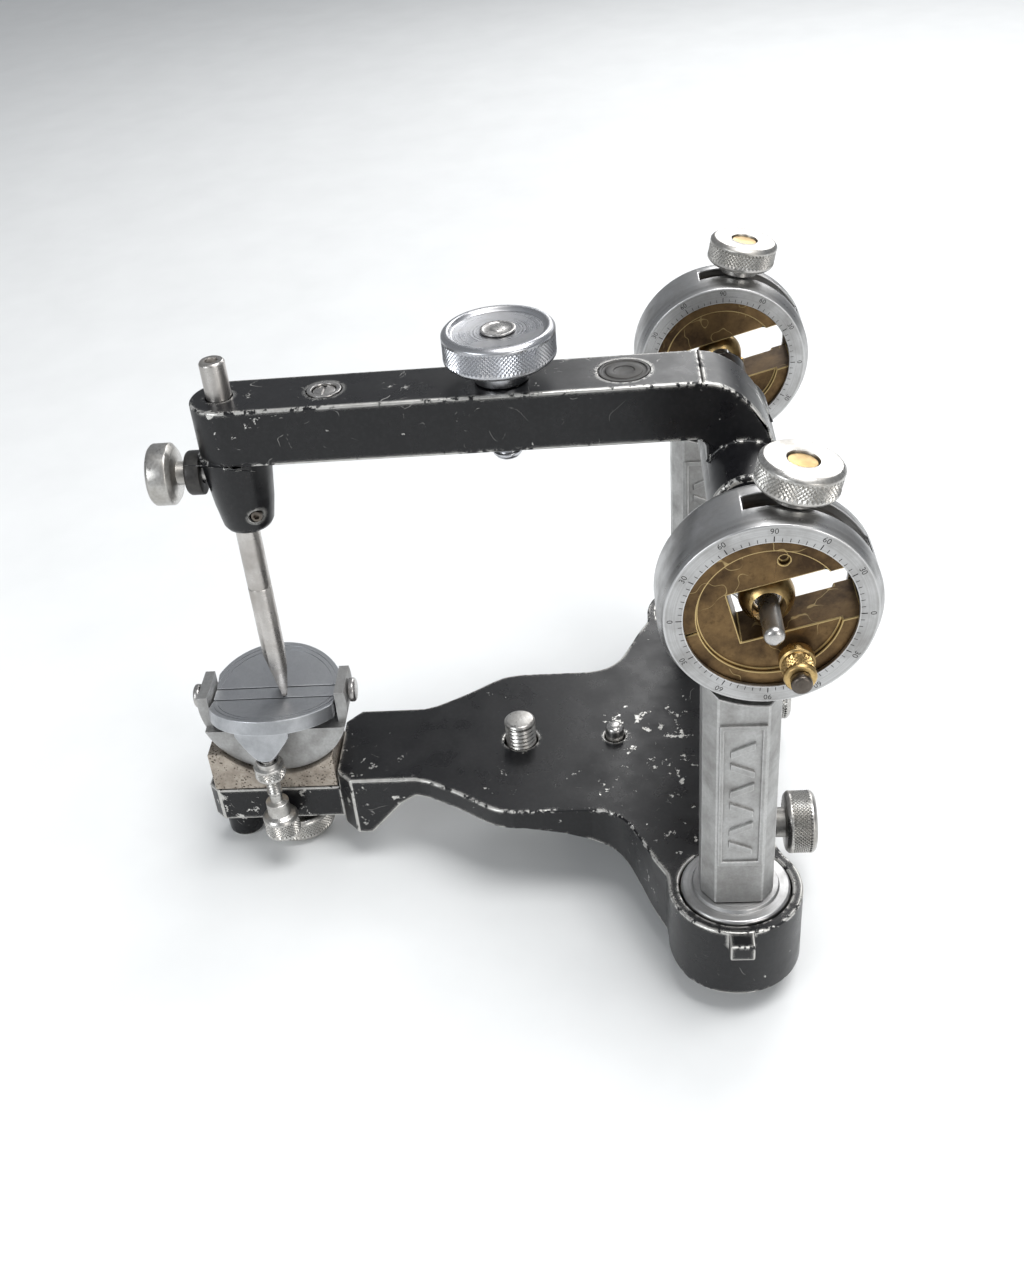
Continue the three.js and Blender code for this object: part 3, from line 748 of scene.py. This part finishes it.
WING_RADIUS = 18.2
SCREW = middle("wing_screw_right")
half_angle = math.degrees(math.asin(TABLE_REACH / WING_RADIUS))
WING_EDGE = 2.6
wing = slab([(WING_EDGE, ROCKER_Y - TABLE_REACH),
             *arc(0, ROCKER_Y, WING_RADIUS, -half_angle, half_angle, 60),
             (WING_EDGE, ROCKER_Y + TABLE_REACH)], ROCKER_Z - 4, ROCKER_Z)
hinge_line = Vector((WING_EDGE, 0, 46.7)) * MM
tilt = (Matrix.Translation(hinge_line) @ Matrix.Rotation(-TABLE_TILT, 4, "Y")
        @ Matrix.Translation(-hinge_line))
wing.data.transform(tilt)
cone = turned([(0, 37.6), (2.7, 37.6), (7.3, 44.6), (7.3, 46.9), (0, 46.9)], (SCREW[0], SCREW[1], 0))
joined(cone, turned(rod(17.6, 30, 50), (0, ROCKER_Y, 0), steps=96), how="INTERSECT")
eased(joined(wing, cone), 0.3)
for radius in (15.4, 16.6):
    section = [(radius, ROCKER_Z - 0.15), (radius + 0.3, ROCKER_Z - 0.15), (radius + 0.3, ROCKER_Z + 1),
               (radius, ROCKER_Z + 1)]
    groove = turned(section, (0, ROCKER_Y, 0), steps=128, closed=True)
    groove.data.transform(tilt)
    cut(wing, groove)
fitted_pair(wing, "table_wing", table_finish, None)
wing_screw = [(0, 0), (4.2, 0), (4.8, 0.8), (4.8, 6), (4.2, 6.8), (3.1, 7.2), (3.1, 11.2), (1.7, 11.6),
              (1.7, 14), (2, 14.3), (2, 26), (0, 26)]
turned_to_fit("wing_screw", wing_screw, knurl_finish, knurl=(1.1, 5.7), thread=(14.8, 25.5, 0.9))
wing_nut = [(2.3, 0), (4.1, 0), (4.1, 3.7), (3, 3.9), (3, 5.2), (2.3, 5.2)]
turned_to_fit("wing_lock_nut", wing_nut, knurl_finish, knurl=(0.5, 3.3), closed=True)


# ---- Turntables and posts ---------------------------------------------------------------
# Each post stands on a turned disc that swivels in its boss, so the post can be yawed. The
# posts are eight-sided tumbled castings with a raised panel of plain bars on each side face.
def turned_face(name, colour, dull, centre, along, roughness):
    """Metal faced in a lathe: fine rings round the piece's own axis."""
    finish, tree, shader, where = new_finish(name, colour, 1.0, roughness)
    keep = Vector((1, 1, 1))
    keep["XYZ".index(along)] = 0
    shifted = add(tree, "ShaderNodeVectorMath", {0: where, 1: Vector(centre) * MM}, operation="SUBTRACT")
    across_axis = add(tree, "ShaderNodeVectorMath", {0: shifted, 1: keep}, operation="MULTIPLY")
    distance = add(tree, "ShaderNodeVectorMath", {0: across_axis}, out=1, operation="LENGTH")
    rings = add(tree, "ShaderNodeTexNoise", {"W": distance, "Scale": 2600.0, "Detail": 4.0},
                noise_dimensions="1D")
    tarnish = ramp(tree, noise(tree, where, 150.0, 8.0, 0.62), 0.42, 0.7)
    base = mixed(tree, maths(tree, "MULTIPLY", tarnish, 0.55), (*colour, 1), (*dull, 1))
    base = mixed(tree, ramp(tree, rings, 0.3, 0.6, 0.3, 0.0), base, (*dull, 1))
    # Edges painted brighter than the metal: partly rubbed metal, partly a painted highlight.
    edge = edge_wear_and_highlight(tree, 0.35, 0.02, 0.3)
    base = mixed(tree, maths(tree, "MULTIPLY", edge, 0.6), base, (*[min(1, c * 1.3) for c in colour], 1))
    tree.links.new(base, shader.inputs["Base Color"])
    tree.links.new(maths(tree, "ADD", ramp(tree, tarnish, 0.0, 1.0, roughness, roughness + 0.16),
                         ramp(tree, rings, 0.3, 0.7, -0.04, 0.05)), shader.inputs["Roughness"])
    bumped(tree, shader, rings, 0.03 * MM, 0.6)
    return finish


turntable = [(0, 0), (5, 0), (5, 12.3), (12.6, 12.3), (12.6, 16.1), (12.2, 16.6), (10, 16.6), (9.8, 17.5),
             (0, 17.5)]
turntable_finish = turned_face("turned_turntable", (0.52, 0.52, 0.52), (0.24, 0.23, 0.22), BOSS, "Z", 0.3)
right_turntable = screw_piece(turntable, low_end("turntable_right"), turntable_finish, steps=128)
left_turntable = mirrored(right_turntable)
fitted(right_turntable, "turntable_right", turntable_finish)
fitted(left_turntable, "turntable_left",
       turned_face("turned_turntable_left", (0.52, 0.52, 0.52), (0.24, 0.23, 0.22),
                   (-BOSS[0], BOSS[1], BOSS[2]), "Z", 0.3))

HINGE = middle("condylar_axle")
POST_INNER = 49
POST_OUTER = 64
POST_HALF_DEPTH = 8.25
CORNER = 4.2
POST_BASE = 29.8
near, far = BOSS[1] - POST_HALF_DEPTH, BOSS[1] + POST_HALF_DEPTH
slope = CORNER * 0.7
post = slab([(POST_INNER + CORNER, near), (POST_OUTER - CORNER, near), (POST_OUTER, near + slope),
             (POST_OUTER, far - slope), (POST_OUTER - CORNER, far), (POST_INNER + CORNER, far),
             (POST_INNER, far - slope), (POST_INNER, near + slope)], POST_BASE, 98)
cut(post, turned(rod(22.3, 40, 72), (0, HINGE[1], HINGE[2]), "X", 128))
fitted_pair(eased(post, 0.35, 3), "post", cast_finish, None)
PANEL_PROUD = 0.7
PANEL_SUNK = 0.4
BAR_HALF = 2.6
BAR_HEIGHT = 1.9
panel_parts = []
for inner, outer in ((POST_OUTER - PANEL_SUNK, POST_OUTER + PANEL_PROUD),
                     (POST_INNER - PANEL_PROUD, POST_INNER + PANEL_SUNK)):
    rim = block(inner, outer, BOSS[1] - 5, BOSS[1] + 5, 42, 82)
    cut(rim, block(inner - 1, outer + 1, BOSS[1] - 3.9, BOSS[1] + 3.9, 43.2, 80.8))
    panel_parts.append(eased(rim, 0.3))
    for step in range(6):
        low = 46.4 + step * 5.6
        slant = 1.2 if step % 2 else -1.2
        bar = [(BOSS[1] - BAR_HALF, low - slant), (BOSS[1] + BAR_HALF, low + slant),
               (BOSS[1] + BAR_HALF, low + slant + BAR_HEIGHT), (BOSS[1] - BAR_HALF, low - slant + BAR_HEIGHT)]
        panel_parts.append(eased(slab(bar, inner, outer, "X"), 0.3))


def carried(piece, name, node, finish):
    """A piece that has no CAD node of its own and moves with one that has."""
    levelled(piece)
    piece.name = name
    piece.data.name = name
    piece.data.materials.clear()
    piece.data.materials.append(finish)
    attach(piece, frame["nodes"][node]["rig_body"])


panel = together("post_panel_right", panel_parts)
other_panel = mirrored(panel)
carried(panel, "post_panel_right", "post_right", cast_finish)
carried(other_panel, "post_panel_left", "post_left", cast_finish)


# ---- Track housings ---------------------------------------------------------------------
# A turned ring on top of each post holds the guide disc between two lips. Its rim has an arc
# slot for the track nut, and both faces carry a dial in degrees, engraved and inked.
BALL = middle("condyle_ball_right")
RING_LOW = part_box("track_housing_right")[0][0] / MM
ring_profile = [(16.9, 0), (20.8, 0), (22, 3), (22, 13), (20.8, 16), (16.9, 16), (16.9, 14.9), (18.3, 14.9),
                (18.3, 1.1), (16.9, 1.1)]
ring_finish = turned_face("turned_housing", (0.5, 0.5, 0.5), (0.22, 0.21, 0.2), BALL, "X", 0.3)
housing = turned(ring_profile, (RING_LOW, BALL[1], BALL[2]), "X", 144, closed=True)
SLOT_FRONT, SLOT_REAR = 104, 28
slot_shape = arc(BALL[1], BALL[2], 15, SLOT_FRONT, SLOT_REAR, 24)
slot_shape += arc(BALL[1], BALL[2], 25, SLOT_REAR, SLOT_FRONT, 24)
cut(housing, slab(slot_shape, 54, 59, "X"))
fitted_pair(eased(housing, 0.3), "track_housing", ring_finish, None)

ink = blackened("engraving_ink")
DIAL_RADIUS = 18.9
INK_HEIGHT = 0.03


def tick_tree():
    """A node tree that sets short marks round a circle that faces along X."""
    tree = bpy.data.node_groups.new("dial_ticks", "GeometryNodeTree")
    for label, kind in (("Count", "NodeSocketInt"), ("Radius", "NodeSocketFloat"),
                        ("Length", "NodeSocketFloat"), ("Width", "NodeSocketFloat"),
                        ("Height", "NodeSocketFloat"), ("Finish", "NodeSocketMaterial")):
        tree.interface.new_socket(name=label, in_out="INPUT", socket_type=kind)
    tree.interface.new_socket(name="Ticks", in_out="OUTPUT", socket_type="NodeSocketGeometry")
    given = tree.nodes.new("NodeGroupInput").outputs
    circle = add(tree, "GeometryNodeMeshCircle", {"Vertices": given["Count"], "Radius": given["Radius"]})
    size = add(tree, "ShaderNodeCombineXYZ", {0: given["Length"], 1: given["Width"], 2: given["Height"]})
    mark = add(tree, "GeometryNodeMeshCube", {"Size": size})
    index = add(tree, "GeometryNodeInputIndex")
    turn = maths(tree, "DIVIDE", maths(tree, "MULTIPLY", index, 2 * math.pi), given["Count"])
    spin = add(tree, "ShaderNodeCombineXYZ", {2: turn})
    placed = add(tree, "GeometryNodeInstanceOnPoints", {"Points": circle, "Instance": mark, "Rotation": spin})
    real = add(tree, "GeometryNodeRealizeInstances", {"Geometry": placed})
    painted = add(tree, "GeometryNodeSetMaterial", {"Geometry": real, "Material": given["Finish"]})
    tree.links.new(painted, tree.nodes.new("NodeGroupOutput").inputs[0])
    return tree


TICK_TREE = tick_tree()


def ticks(count, radius, length, width=0.14):
    marks = mesh_piece("ticks", [(0, 0, 0)], [])
    worked(marks, TICK_TREE, count=count, radius=radius * MM, length=length * MM, width=width * MM,
           height=INK_HEIGHT * MM, finish=ink)
    return marks


def figure(text, height):
    """A number, as a thin flat mesh in the plane of X and Y."""
    words = bpy.data.curves.new(text, "FONT")
    words.body = text
    words.size = height * MM
    words.align_x = "CENTER"
    words.align_y = "CENTER"
    words.extrude = INK_HEIGHT * MM / 2
    words.resolution_u = 3
    holder = bpy.data.objects.new(text, words)
    bpy.context.scene.collection.objects.link(holder)
    mesh = bpy.data.meshes.new_from_object(holder)
    remove(holder)
    mesh.materials.clear()
    piece = bpy.data.objects.new("figure", mesh)
    bpy.context.scene.collection.objects.link(piece)
    return piece


def dial(name):
    """The ticks and figures of one dial face, round the origin and facing along +X."""
    marks = [ticks(72, DIAL_RADIUS - 1.3, 0.8), ticks(12, DIAL_RADIUS - 1.1, 1.2, 0.2)]
    labels = ["0", "30", "60", "90", "60", "30", "0", "30", "60", "90", "60", "30"]
    for step, text in enumerate(labels):
        turn = math.radians(step * 30)
        number = figure(text, 1.7)
        number.data.transform(Matrix.Rotation(turn - math.pi / 2, 4, "Z")
                              @ Matrix.Translation((0, (DIAL_RADIUS + 0.55) * MM, 0)))
        marks.append(number)
    piece = together(name, marks)
    piece.data.transform(turn_axis("X"))
    return piece


RING_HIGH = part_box("track_housing_right")[1][0] / MM
for name, x, hand in (("dial_right", RING_HIGH, "right"), ("dial_left", -RING_HIGH, "left"),
                      ("inner_dial_left", -RING_LOW, "left"), ("inner_dial_right", RING_LOW, "right")):
    face = dial(name)
    if name in ("dial_left", "inner_dial_right"):
        face.data.transform(Matrix.Rotation(math.pi, 4, "Z"))
    face.data.transform(Matrix.Translation(Vector((x, BALL[1], BALL[2])) * MM))
    carried(face, name, "track_housing_" + hand, ink)


# ---- Guide discs ------------------------------------------------------------------------
# A thick brass disc turns in each housing to set the track angle. A slot runs from beside the
# centre out through the rear for the ball. The brass has gone brown and is bright along its edges, partly
# rubbed and partly a painted highlight.
def brown_brass(name):
    finish, tree, shader, where = new_finish(name, (0.14, 0.085, 0.038), 0.85, 0.42)
    edge = edge_wear_and_highlight(tree, 0.5, 0.015, 0.22)
    cloud = ramp(tree, noise(tree, where, 110.0, 9.0, 0.65), 0.36, 0.66)
    speck = ramp(tree, noise(tree, where, 620.0, 5.0, 0.7), 0.56, 0.7)
    patina = mixed(tree, cloud, (0.055, 0.033, 0.017, 1), (0.2, 0.125, 0.055, 1))
    patina = mixed(tree, maths(tree, "MULTIPLY", speck, 0.5), patina, (0.06, 0.035, 0.015, 1))
    line = hair_lines(tree, where, 130.0, 0.006, 70.0, 0.52)
    # Bright brass along the edges is partly wear and partly a painted highlight. The scratches are wear.
    bare = maths(tree, "MAXIMUM", maths(tree, "MULTIPLY", edge, 0.85), maths(tree, "MULTIPLY", line, 0.5))
    tree.links.new(mixed(tree, bare, patina, (0.62, 0.47, 0.22, 1)), shader.inputs["Base Color"])
    tree.links.new(ramp(tree, cloud, 0.0, 1.0, 0.5, 0.32), shader.inputs["Roughness"])
    bumped(tree, shader, noise(tree, where, 500.0, 6.0), 0.05 * MM, 0.6)
    return finish


disc_finish = brown_brass("brown_brass")
disc_profile = [(0, 1.2), (14.2, 1.2), (14.2, 0), (18, 0), (18, 13.4), (14.2, 13.4), (14.2, 12.2), (0, 12.2)]
disc = turned(disc_profile, low_end("guide_disc_right", "X"), "X", 128)
TRACK_PITCH = math.radians(15)
NUT_LEAN = math.radians(-11)
to_ball = Matrix.Translation(Vector((0, BALL[1], BALL[2])) * MM)
track = slab([(-7.1, -5.85), (21, -5.85), (21, 5.85), (-7.1, 5.85)], 45, 70, "X")
track.data.transform(to_ball @ Matrix.Rotation(TRACK_PITCH, 4, "X"))
cut(disc, track)
nut_place = Matrix.Translation(BALL * MM) @ Matrix.Rotation(NUT_LEAN, 4, "X")
nut_hole = turned(rod(2.3, 13.8, 20))
nut_hole.data.transform(nut_place)
cut(disc, nut_hole)
PIN_HOLE = (2.4, 11.4)
pin_hole = turned(rod(1.1, 60.5, 63.5), (0, BALL[1] + PIN_HOLE[0], BALL[2] + PIN_HOLE[1]), "X", 24)
cut(disc, pin_hole)
index_line = slab([(-17.8, -0.15), (-14.6, -0.15), (-14.6, 0.15), (-17.8, 0.15)], 63, 64, "X")
index_line.data.transform(to_ball @ Matrix.Rotation(TRACK_PITCH, 4, "X"))
cut(disc, index_line)
fitted_pair(eased(disc, 0.28), "guide_disc", disc_finish, None)

yellow_finish = bright_metal("worn_brass", (0.6, 0.43, 0.19), (0.2, 0.12, 0.05), 0.25, 0.6)
nut_profile = [(0, 14.1), (2, 14.1), (2, 22.4), (4.7, 22.4), (4.9, 24.4), (7.5, 24.4), (8.3, 25.2),
               (8.3, 29.8), (7.5, 30.6), (3.2, 30.6), (3.2, 29.4), (0, 29.4)]
nut = screw_piece(nut_profile, (0, 0, 0), knurl_finish, knurl=(25.5, 29.5))
nut.data.transform(nut_place)
fitted_pair(nut, "track_nut", knurl_finish)
core = screw_piece(rod(2.9, 29.6, 30.2), (0, 0, 0), yellow_finish)
core.data.transform(nut_place)
fitted_pair(core, "track_nut_core", yellow_finish)

lock_body = [(0, 0), (2.1, 0), (2.1, 1.2), (3.6, 1.2), (3.6, 3.4), (3.1, 3.7), (3.3, 4.2), (3.3, 8.1),
             (2.9, 8.7), (0, 8.7)]
turned_to_fit("centric_lock", lock_body, yellow_finish, "X", knurl=(4.45, 7.85), ease=0.15)
tip_finish = bright_metal("dark_steel", (0.16, 0.14, 0.12), (0.05, 0.04, 0.035), 0.3, 0.7)
lock_tip = [(0, 0), (2.1, 0), (2.1, 1.8), (1.6, 2.2), (0, 2.2)]
turned_to_fit("centric_lock_tip", lock_tip, tip_finish, "X")


# ---- Condylar balls and axle ------------------------------------------------------------
# A bored brass ball slides in each track, with a steel bush in its bore. One ground axle runs
# through both balls and the arm's crossbar.
BALL_RADIUS = 5.6
BORE = 3.4
bore_angle = math.degrees(math.asin(math.sqrt(BALL_RADIUS ** 2 - BORE ** 2) / BALL_RADIUS))
ball = turned(arc(0, 0, BALL_RADIUS, -bore_angle, bore_angle, 28), BALL, "X", 64, closed=True)
fitted_pair(ball, "condyle_ball", yellow_finish)
bush = [(2.4, 0), (3.1, 0), (3.1, 2.4), (2.4, 2.4)]
turned_to_fit("ball_bush", bush, steel_finish, "X", closed=True)
axle_finish = bright_metal("ground_axle", (0.55, 0.54, 0.53), (0.25, 0.23, 0.21), 0.22, 0.4, (14, 1, 1))
axle = [(0, 0), (1.2, 0.2), (1.8, 0.6), (2.1, 1.3), (2.1, 142.7), (1.8, 143.4), (1.2, 143.8), (0, 144)]
turned_to_fit("condylar_axle", axle, axle_finish, "X")


# ---- Upper frame ------------------------------------------------------------------------
# A cast arm with a square elbow at the back, a round crossbar that the axle runs through and a
# tapered boss in front for the incisal pin. It has the same black enamel, worn bright along its
# edges, and the bright edges are also a painted highlight.
ARM_HALF = 8.5
ARM_UNDER = 118.5
ARM_TOP = 132.5
ARM_BACK = REAR - 9
nose = [(x, y + REAR) for x, y in arc(0, -116.5, ARM_HALF, 180, 360, 32)]
arm = slab([*nose, (ARM_HALF, ARM_BACK), (-ARM_HALF, ARM_BACK)], ARM_UNDER, ARM_TOP)
elbow = [(-20, ARM_UNDER), (-9.6, ARM_UNDER), (-8.3, 117.2), (-8, 112), (-8, 107), (8.3, 107)]
elbow += flowing([(8.2, 112), (6.6, 117), (4.7, 121.7), (2.1, 125.8), (-1.2, 129.2), (-5.5, 131.7),
                  (-9.8, ARM_TOP)])
elbow += [(-20, ARM_TOP)]
joined(arm, slab([(y + REAR, z) for y, z in elbow], -ARM_HALF, ARM_HALF, "X"))
bar = [(0, -45.5), (5.2, -45.5), (5.6, -45), (5.6, -24.6), (8.2, -24.6), (8.8, -24), (8.8, 24), (8.2, 24.6),
       (5.6, 24.6), (5.6, 45), (5.2, 45.5), (0, 45.5)]
joined(arm, turned(bar, (0, HINGE[1], HINGE[2]), "X", 80))
boss = [(0, 98.8), (4.6, 98.8), (5.6, 99.4), (6.2, 100.4), (7.2, 106), (8.1, 114), (8.4, 119), (0, 119)]
joined(arm, turned(boss, (0, REAR - 117, 0), steps=72))
eased(arm, 0.6, 3)
cut(arm, turned(rod(2.4, -50, 50), (0, HINGE[1], HINGE[2]), "X", 48))
for radius, bottom, y in ((3.3, 95, -118), (3.7, 115, -53), (4.3, 131.2, -93.5), (6, 131.8, -25.8)):
    cut(arm, turned(rod(radius, bottom, ARM_TOP + 2.5), (0, REAR + y, 0), steps=48))
PIN_CLAMP = middle("pin_clamp_screw")
cut(arm, turned(rod(2.3, REAR - 128, REAR - 118), (0, 0, PIN_CLAMP[2]), "Y", 32))
cut(arm, turned(rod(1.7, 3.9, 9), (0, *middle("boss_set_screw")[1:]), "X", 24))
fitted(arm, "upper_frame", frame_enamel, None)

insert = [(2.9, 0), (4, 0), (4, 1.3), (2.9, 1.3)]
turned_to_fit("arm_insert_ring", insert, steel_finish, closed=True)
slotted = turned(softened(rod(2.6, 0, 0.9), 0.2), low_end("arm_insert_screw"))
slot = middle("arm_insert_screw")
cut(slotted, block(-3, 3, slot[1] - 0.4, slot[1] + 0.4, slot[2], slot[2] + 2))
fitted(slotted, "arm_insert_screw", steel_finish)
trim_finish = blackened("black_trim")
badge = [(0, 0), (5.7, 0), (5.7, 0.5), (5.1, 0.5), (5.0, 0.3), (4.2, 0.3), (4.1, 0.5), (2.4, 0.5),
         (2.3, 0.3), (0, 0.3)]
turned_to_fit("arm_badge", badge, trim_finish, ease=0.08, steps=96)
GRUB = low_end("boss_set_screw", "X")
grub = turned(softened(rod(1.4, 0, 1.8), 0.2), GRUB, "X", 32)
cut(grub, turned(rod(0.8, 1, 3), GRUB, "X", 6))
fitted(grub, "boss_set_screw", tip_finish)


# ---- Upper mounting screw ---------------------------------------------------------------
# A large knurled thumbscrew passes down through the arm to hold the upper plate. Its top is
# dished and has a small plain disc let into it.
UPPER = middle("upper_mounting_screw")
knob_finish = turned_face("turned_knob", (0.56, 0.57, 0.6), (0.3, 0.29, 0.28), UPPER, "Z", 0.24)
knob = [(0, 0), (2.6, 0), (3.4, 1), (3.4, 19.4), (6.2, 19.4), (6, 23.9), (11.8, 23.9), (12.7, 24.8),
        (12.7, 30.6), (11.9, 31.4), (11, 31.4), (10.4, 30.5), (0, 30.5)]
turned_to_fit("upper_mounting_screw", knob, knob_finish, knurl=(25.1, 30.3), thread=(1.5, 4.5, 1.25))
cap = [(0, 0), (4, 0), (4, 0.4), (3.3, 0.4), (3.1, 0.2), (1.6, 0.2), (1.4, 0.4), (0, 0.4)]
turned_to_fit("upper_mounting_cap", cap, steel_finish, ease=0.08)


# ---- Incisal pin ------------------------------------------------------------------------
# A stainless rod slides down through the boss to rest on the guide table. It is tapped at the
# top, ringed with a height mark, and ground on two sides to a chisel edge at the bottom.
pin_finish = bright_metal("stainless_pin", (0.56, 0.54, 0.52), (0.3, 0.27, 0.24), 0.24, 0.5, (1, 1, 16))
PIN_FOOT = low_end("incisal_pin")
pin_profile = [(0, 0), (2.6, 0), (3, 1.2), (3, 33.3), (2.85, 33.4), (2.85, 33.7), (3, 33.8), (3, 93.5),
               (2.6, 94), (1.5, 94), (1.5, 92.3), (0, 92.3)]
pin = turned(softened(pin_profile, 0.1), PIN_FOOT, steps=64)
for hand in (1, -1):
    grind = slab([(hand * 0.35, -1), (hand * 3.2, 14), (hand * 9, 14), (hand * 9, -1)][::hand], -9, 9, "X")
    grind.data.transform(Matrix.Translation(PIN_FOOT * MM)
                         @ Matrix.Rotation(math.radians(25), 4, "Z"))
    cut(pin, grind)
fitted(pin, "incisal_pin", pin_finish)
collar = [(2.6, 0), (4.9, 0), (5.3, 0.6), (5.3, 3.7), (2.6, 3.7)]
turned_to_fit("pin_clamp_collar", collar, trim_finish, "Y", closed=True)
clamp_head = [(0, 0), (6.7, 0), (7.4, 0.8), (7.4, 5), (6, 6.1), (2.8, 6.3), (2.8, 8.5), (2, 8.5), (2, 16.4),
              (0, 16.4)]
turned_to_fit("pin_clamp_screw", clamp_head, knurl_finish, "Y", knurl=(1.1, 4.8))

import json
